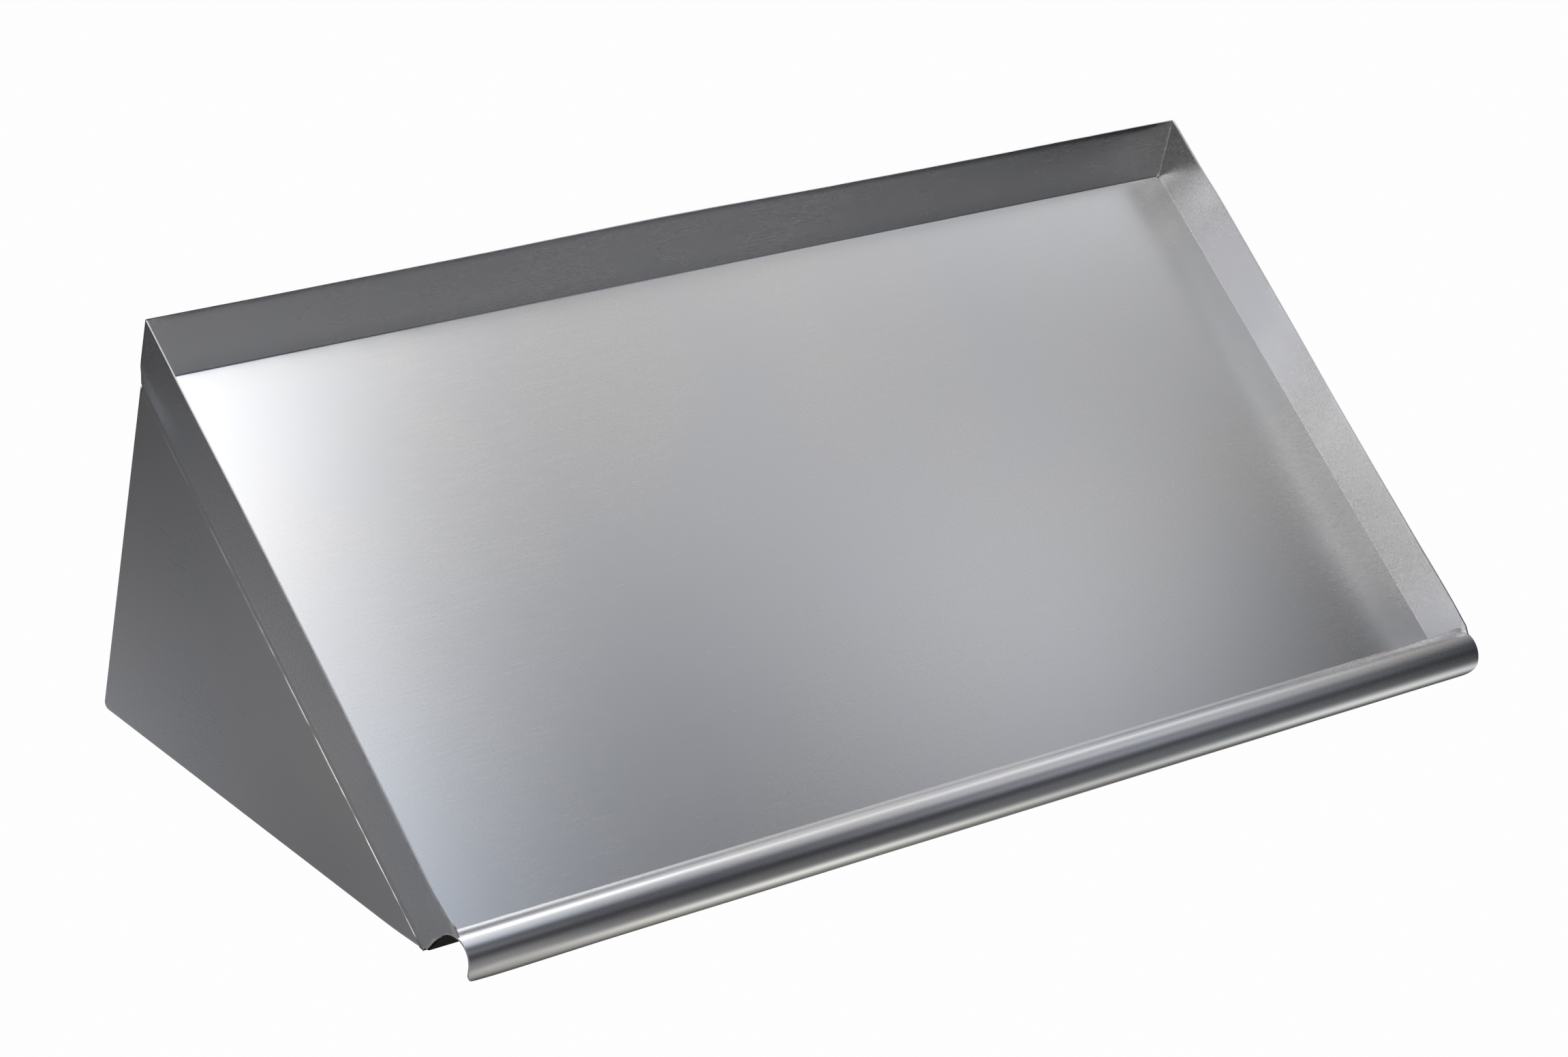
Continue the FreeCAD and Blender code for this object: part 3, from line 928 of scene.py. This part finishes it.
# ----------------------------------------------------------------- materials
class Nodes:
    def __init__(self, tree):
        self.t = tree

    def add(self, kind, **props):
        n = self.t.nodes.new(kind)
        for k, v in props.items():
            setattr(n, k, v)
        return n

    def link(self, a, b):
        self.t.links.new(a, b)

    def math(self, op, a, b=None, clamp=False):
        n = self.add("ShaderNodeMath", operation=op, use_clamp=clamp)
        for i, v in enumerate((a, b)):
            if v is None:
                continue
            if isinstance(v, (int, float)):
                n.inputs[i].default_value = v
            else:
                self.link(v, n.inputs[i])
        return n.outputs[0]

    def noise(self, vec, scale, detail=2.0, rough=0.5, distortion=0.0):
        n = self.add("ShaderNodeTexNoise")
        n.inputs["Scale"].default_value = scale
        n.inputs["Detail"].default_value = detail
        n.inputs["Roughness"].default_value = rough
        n.inputs["Distortion"].default_value = distortion
        self.link(vec, n.inputs["Vector"])
        return n.outputs["Fac"]

    def ramp(self, fac, lo, hi, out0=0.0, out1=1.0):
        n = self.add("ShaderNodeMapRange", interpolation_type="SMOOTHSTEP")
        self.link(fac, n.inputs["Value"])
        for k, v in (("From Min", lo), ("From Max", hi), ("To Min", out0),
                     ("To Max", out1)):
            n.inputs[k].default_value = v
        return n.outputs["Result"]

    def mix(self, fac, a, b):
        n = self.add("ShaderNodeMix", data_type="RGBA")
        if isinstance(fac, (int, float)):
            n.inputs["Factor"].default_value = fac
        else:
            self.link(fac, n.inputs["Factor"])
        for key, v in (("A", a), ("B", b)):
            sock = [s for s in n.inputs if s.name == key
                    and s.type == "RGBA"][0]
            if isinstance(v, (tuple, list)):
                sock.default_value = (*v[:3], 1.0)
            else:
                self.link(v, sock)
        return [s for s in n.outputs if s.type == "RGBA"][0]


def steel(name, base=(0.70, 0.70, 0.70), rough=0.27, grain=(14, 260, 260),
          grain_rot=(0.0, 0.0, 0.0), grain_amount=0.014, mottle=0.055,
          bump=0.0000022, patch=0.02, aniso=0.0, wear=0.12):
    """Satin stainless: fine stretched grain in colour, roughness and bump, broad
    cloudiness, small mottling, and brighter worn edges."""
    mat = bpy.data.materials.new(name)
    mat.use_nodes = True
    t = mat.node_tree
    t.nodes.clear()
    N = Nodes(t)
    out = N.add("ShaderNodeOutputMaterial")
    bsdf = N.add("ShaderNodeBsdfPrincipled")
    N.link(bsdf.outputs[0], out.inputs[0])
    bsdf.inputs["Metallic"].default_value = 1.0
    tc = N.add("ShaderNodeTexCoord")
    rot = N.add("ShaderNodeMapping", vector_type="POINT")
    rot.inputs["Rotation"].default_value = grain_rot
    N.link(tc.outputs["Object"], rot.inputs["Vector"])
    st = N.add("ShaderNodeMapping", vector_type="POINT")
    st.inputs["Scale"].default_value = grain
    N.link(rot.outputs[0], st.inputs["Vector"])
    grain_n = N.noise(st.outputs[0], 6.0, 3.0, 0.6)
    mott_n = N.noise(rot.outputs[0], 780.0, 2.0, 0.6)
    cloud_n = N.noise(rot.outputs[0], 5.5, 3.0, 0.5, 0.4)
    geo = N.add("ShaderNodeNewGeometry")
    edge = N.ramp(geo.outputs["Pointiness"], 0.52, 0.60)
    g = N.math("SUBTRACT", grain_n, 0.5)
    m = N.math("SUBTRACT", mott_n, 0.5)
    c = N.math("SUBTRACT", cloud_n, 0.5)
    val = N.math("ADD", 1.0, N.math("MULTIPLY", g, grain_amount * 2))
    val = N.math("ADD", val, N.math("MULTIPLY", m, mottle * 2))
    val = N.math("ADD", val, N.math("MULTIPLY", c, patch * 2))
    val = N.math("ADD", val, N.math("MULTIPLY", edge, wear))
    tint = N.mix(N.ramp(cloud_n, 0.35, 0.65),
                 tuple(b * k for b, k in zip(base, (0.992, 1.0, 1.012))),
                 tuple(b * k for b, k in zip(base, (1.010, 1.0, 0.990))))
    sc = N.add("ShaderNodeVectorMath", operation="SCALE")
    N.link(tint, sc.inputs[0])
    N.link(val, sc.inputs["Scale"])
    N.link(sc.outputs[0], bsdf.inputs["Base Color"])
    r = N.math("ADD", rough, N.math("MULTIPLY", g, 0.03))
    r = N.math("ADD", r, N.math("MULTIPLY", c, 0.03))
    r = N.math("ADD", r, N.math("MULTIPLY", edge, 0.05))
    N.link(N.math("MAXIMUM", r, 0.05), bsdf.inputs["Roughness"])
    bsdf.inputs["Anisotropic"].default_value = aniso
    if aniso:
        tan = N.add("ShaderNodeTangent", direction_type="RADIAL", axis="X")
        N.link(tan.outputs[0], bsdf.inputs["Tangent"])
    bp = N.add("ShaderNodeBump")
    bp.inputs["Strength"].default_value = 0.35
    bp.inputs["Distance"].default_value = bump
    h = N.math("ADD", grain_n, N.math("MULTIPLY", mott_n, 0.7))
    N.link(h, bp.inputs["Height"])
    N.link(bp.outputs[0], bsdf.inputs["Normal"])
    return mat


SHEET_MAT = steel("satin_sheet", grain_rot=(SLOPE, 0, 0), grain=(5, 90, 90))
BRACKET_MAT = steel("bracket_sheet", base=(0.70, 0.70, 0.70), rough=0.28,
                    grain=(90, 5, 90), patch=0.03)
EDGE_MAT = steel("sheared_edge", base=(0.93, 0.93, 0.93), rough=0.27,
                 grain=(60, 60, 60), grain_amount=0.10, mottle=0.08,
                 bump=0.00001, wear=0.0)
SEAM_MAT = steel("ground_seam", base=(0.72, 0.72, 0.71), rough=0.28,
                 grain=(90, 5, 90), grain_amount=0.03, mottle=0.03,
                 bump=0.000006, wear=0.0)
WELD_MAT = steel("weld_metal", base=(0.78, 0.77, 0.74), rough=0.36,
                 grain=(120, 120, 120), grain_amount=0.10, mottle=0.08,
                 bump=0.00002, wear=0.2)

# ------------------------------------------------------------------ the pieces
def mark_sheared(bm):
    """Second material on the sheet's cut edges: the back's top rim and the free lip."""
    count = 0
    for f in bm.faces:
        c = f.calc_center_median()
        y, z = SHIFT - c.y / MM, c.z / MM - FLOOR_REAR_Z
        u, v = y * C - z * S, y * S + z * C
        n = f.normal
        back_rim = u < 0.0 and z > BACK_UPTURN - 3.0 and n.z > 0.3
        phi = math.degrees(math.atan2(v - ROLL_CENTRE_V, u - ROLL_CENTRE_U))
        lip = u > ROLL_CENTRE_U and phi < ROLL_END + 0.6 and n.z < -0.5
        if back_rim or lip:
            f.material_index = 1
            count += 1
    print("sheared faces", count)


bm = build_pan()
sharp_bevel(bm, 60, 0.50 * MM, 4)
sharp_bevel(bm, 35, 0.28 * MM)
mark_sheared(bm)
pan = finish_mesh(bm, "pan_sheet", [SHEET_MAT, EDGE_MAT])
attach(pan, "root")
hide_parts("tray_pan")

for side, sign in (("left", -1), ("right", 1)):
    bm = build_bracket(sign)
    sharp_bevel(bm, 35, 0.2 * MM)
    ob = finish_mesh(bm, side + "_end_plate", [BRACKET_MAT, EDGE_MAT])
    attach(ob, "root")
    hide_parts(side + "_bracket")

for side, sign in (("left", -1), ("right", 1)):
    for name, node_name, mesh, mat in (
            (side + "_ground_seam", side + "_seam_weld", seam_mesh, SEAM_MAT),
            ("back_" + side + "_bead", "back_" + side + "_corner_weld",
             back_corner_mesh, WELD_MAT),
            ("front_" + side + "_bead", "front_" + side + "_corner_weld",
             front_corner_mesh, WELD_MAT),
            (side + "_stitch_beads", side + "_stitch_welds", stitch_mesh,
             WELD_MAT)):
        ob = finish_mesh(mesh(sign), name, [mat], mesh is seam_mesh)
        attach(ob, "root")
        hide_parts(node_name)

# ---------------------------------------------------------------------- stage
def make_floor():
    me = bpy.data.meshes.new("stage_floor")
    r = 14.0
    me.from_pydata([(-r, -r, -0.0018), (r, -r, -0.0018), (r, r, -0.0018),
                    (-r, r, -0.0018)], [], [(0, 1, 2, 3)])
    ob = bpy.data.objects.new("stage_floor", me)
    bpy.context.scene.collection.objects.link(ob)
    mat = bpy.data.materials.new("pale_floor")
    mat.use_nodes = True
    t = mat.node_tree
    t.nodes.clear()
    N = Nodes(t)
    out = N.add("ShaderNodeOutputMaterial")
    em = N.add("ShaderNodeEmission")
    em.inputs["Color"].default_value = (0.985, 0.985, 0.985, 1)
    N.link(em.outputs[0], out.inputs[0])
    me.materials.append(mat)
    ob.visible_glossy = False
    ob.visible_diffuse = False
    return ob


def make_shade():
    """Painted shade under the shelf: a dimming veil that only the shelf's lower faces see in their
    reflections, standing in for its shadow on the floor.
    """
    me = bpy.data.meshes.new("stage_shade")
    x0, y0, y1 = HALF * MM, (SHIFT - DEPTH + 14.0) * MM, SHIFT * MM
    me.from_pydata([(-x0, y0, -0.0016), (x0, y0, -0.0016), (x0, y1, -0.0016),
                    (-x0, y1, -0.0016)], [], [(0, 1, 2, 3)])
    ob = bpy.data.objects.new("stage_shade", me)
    bpy.context.scene.collection.objects.link(ob)
    mat = bpy.data.materials.new("under_shade")
    mat.use_nodes = True
    t = mat.node_tree
    t.nodes.clear()
    N = Nodes(t)
    out = N.add("ShaderNodeOutputMaterial")
    veil = N.add("ShaderNodeBsdfTransparent")
    # painted shade: the veil lets 22 % of the reflected light through
    veil.inputs["Color"].default_value = (0.22, 0.22, 0.22, 1)
    N.link(veil.outputs[0], out.inputs[0])
    me.materials.append(mat)
    ob.visible_camera = False
    ob.visible_diffuse = False
    ob.visible_shadow = False
    return ob


make_floor()
make_shade()

# Soft studio surround: a dome seen only by reflections.  Each soft light is a
# direction (azimuth 0 = in front of the shelf's roll, 90 = its right end,
# elevation above the horizon), an angular spread and a colour.
DOME_RADIUS = 1.45
DOME_CENTRE = (0.0, 0.0, 0.12)
BASE_LIGHT = (0.000, 0.000, 0.000)
SOFT_LIGHTS = [
    # name, azimuth, elevation, spread, (r, g, b)
    ("rear_high", 68.5, 81.4, 7.0, (3.171, 3.117, 3.089)),
    ("right_side", 92.5, 30.0, 7.0, (0.417, 0.398, 0.366)),
    ("left_floor_far", -111.1, -43.5, 7.0, (0.792, 0.808, 0.861)),
    ("left_high", -80.1, 36.5, 7.0, (5.416, 5.391, 5.608)),
    ("front_right_level", 42.0, -6.0, 10.5, (0.162, 0.165, 0.180)),
    ("rear_right_high", 136.4, 61.5, 7.0, (4.617, 4.740, 4.980)),
    ("right_high", 82.2, 54.1, 7.0, (0.476, 0.477, 0.494)),
    ("top_front", 18.2, 67.1, 7.0, (2.023, 2.242, 2.603)),
    ("left_high_rear", -116.2, 35.5, 7.0, (5.761, 5.587, 5.881)),
    ("front_right", 49.1, 26.4, 7.0, (0.459, 0.478, 0.548)),
    ("left_floor", -136.2, -28.4, 7.0, (0.524, 0.531, 0.569)),
    ("front_low", -4.4, -19.3, 17.0, (0.449, 0.447, 0.469)),
    ("right_low", 61.6, -28.7, 7.0, (1.120, 1.160, 1.160)),
    ("top_left", -57.6, 66.5, 7.0, (1.469, 1.474, 1.446)),
    ("right_rear", 106.8, 35.9, 7.0, (1.063, 1.105, 1.212)),
    ("front_level", 4.4, 34.1, 7.0, (0.673, 0.694, 0.796)),
    ("right_rear_high", 109.2, 49.1, 7.0, (0.785, 0.732, 0.678)),
    ("left_level", -98.8, -7.8, 7.0, (3.119, 3.069, 3.081)),
    ("floor_front", 36.3, -41.2, 7.0, (1.203, 1.196, 1.134)),
    ("right_mid", 71.9, 39.3, 7.0, (0.789, 0.811, 0.863)),
    ("rear_right_low", 134.2, 26.0, 10.0, (1.000, 0.980, 1.000)),
    ("rear_right_level", 139.0, 10.0, 8.0, (0.450, 0.450, 0.460)),
    ("under_right", 104.0, -48.0, 12.0, (0.150, 0.145, 0.130)),
    ("floor_front_low", 36.0, -57.0, 14.0, (0.500, 0.480, 0.450)),
    ("front_left_boost", 60.0, 56.0, 12.0, (0.070, 0.070, 0.075)),
    ("front_left_low", -46.0, -16.0, 8.0, (0.220, 0.215, 0.210)),
    ("left_strip_boost", -124.0, -9.0, 8.0, (0.080, 0.080, 0.085)),
]


def direction(az, el):
    a, e = math.radians(az), math.radians(el)
    return (math.sin(a) * math.cos(e), -math.cos(a) * math.cos(e), math.sin(e))


def make_dome():
    bmd = bmesh.new()
    bmesh.ops.create_icosphere(bmd, subdivisions=5, radius=DOME_RADIUS)
    for f in bmd.faces:
        f.smooth = True
    me = bpy.data.meshes.new("stage_dome")
    bmd.to_mesh(me)
    bmd.free()
    ob = bpy.data.objects.new("stage_dome", me)
    ob.location = DOME_CENTRE
    bpy.context.scene.collection.objects.link(ob)
    mat = bpy.data.materials.new("soft_surround")
    mat.use_nodes = True
    t = mat.node_tree
    t.nodes.clear()
    N = Nodes(t)
    out = N.add("ShaderNodeOutputMaterial")
    em = N.add("ShaderNodeEmission")
    N.link(em.outputs[0], out.inputs[0])
    tc = N.add("ShaderNodeTexCoord")
    nrm = N.add("ShaderNodeVectorMath", operation="NORMALIZE")
    N.link(tc.outputs["Object"], nrm.inputs[0])
    total = None
    for name, az, el, spread, rgb in SOFT_LIGHTS:
        d = N.add("ShaderNodeVectorMath", operation="DOT_PRODUCT")
        N.link(nrm.outputs[0], d.inputs[0])
        d.inputs[1].default_value = direction(az, el)
        k = 1.0 / math.radians(spread) ** 2
        e = N.math("EXPONENT", N.math("MULTIPLY",
                   N.math("SUBTRACT", d.outputs["Value"], 1.0), k))
        s = N.add("ShaderNodeVectorMath", operation="SCALE")
        s.label = name
        s.inputs[0].default_value = rgb
        N.link(e, s.inputs["Scale"])
        if total is None:
            total = s.outputs[0]
        else:
            a = N.add("ShaderNodeVectorMath", operation="ADD")
            N.link(total, a.inputs[0])
            N.link(s.outputs[0], a.inputs[1])
            total = a.outputs[0]
    base = N.add("ShaderNodeVectorMath", operation="ADD")
    N.link(total, base.inputs[0])
    base.inputs[1].default_value = BASE_LIGHT
    lo = N.add("ShaderNodeVectorMath", operation="MAXIMUM")
    N.link(base.outputs[0], lo.inputs[0])
    lo.inputs[1].default_value = (0.0, 0.0, 0.0)
    N.link(lo.outputs[0], em.inputs["Color"])
    mat.cycles.emission_sampling = "NONE"
    me.materials.append(mat)
    ob.visible_camera = False
    ob.visible_shadow = False
    return ob


make_dome()

world = bpy.data.worlds.new("white")
bpy.context.scene.world = world
world.use_nodes = True
bg = world.node_tree.nodes["Background"]
bg.inputs["Color"].default_value = (0.985, 0.985, 0.985, 1)
bg.inputs["Strength"].default_value = 1.0

# --------------------------------------------------------------------- camera
AZ, EL, ROLL = math.radians(-45.78), math.radians(25.56), math.radians(9.9)
F_PX, W_PX = 7746.93, 2301.0
cam_data = bpy.data.cameras.new("camera")
cam = bpy.data.objects.new("camera", cam_data)
bpy.context.scene.collection.objects.link(cam)
back = Vector((math.sin(AZ) * math.cos(EL), -math.cos(AZ) * math.cos(EL),
               math.sin(EL)))
right = Vector((math.cos(AZ), math.sin(AZ), 0.0))
up = back.cross(right)
r2 = math.cos(ROLL) * right + math.sin(ROLL) * up
u2 = -math.sin(ROLL) * right + math.cos(ROLL) * up
target = Vector((-0.10465, (SHIFT - 250.0) * MM, 0.1787))
m = Matrix((r2, u2, back)).transposed().to_4x4()
m.translation = target + back * 3.98459
cam.matrix_world = m
cam_data.sensor_fit = "HORIZONTAL"
cam_data.sensor_width = 36.0
cam_data.lens = F_PX / W_PX * 36.0
cam_data.clip_start = 0.1
cam_data.clip_end = 100.0
bpy.context.scene.camera = cam
bpy.context.scene.view_settings.view_transform = "Standard"
bpy.context.scene.view_settings.look = "None"
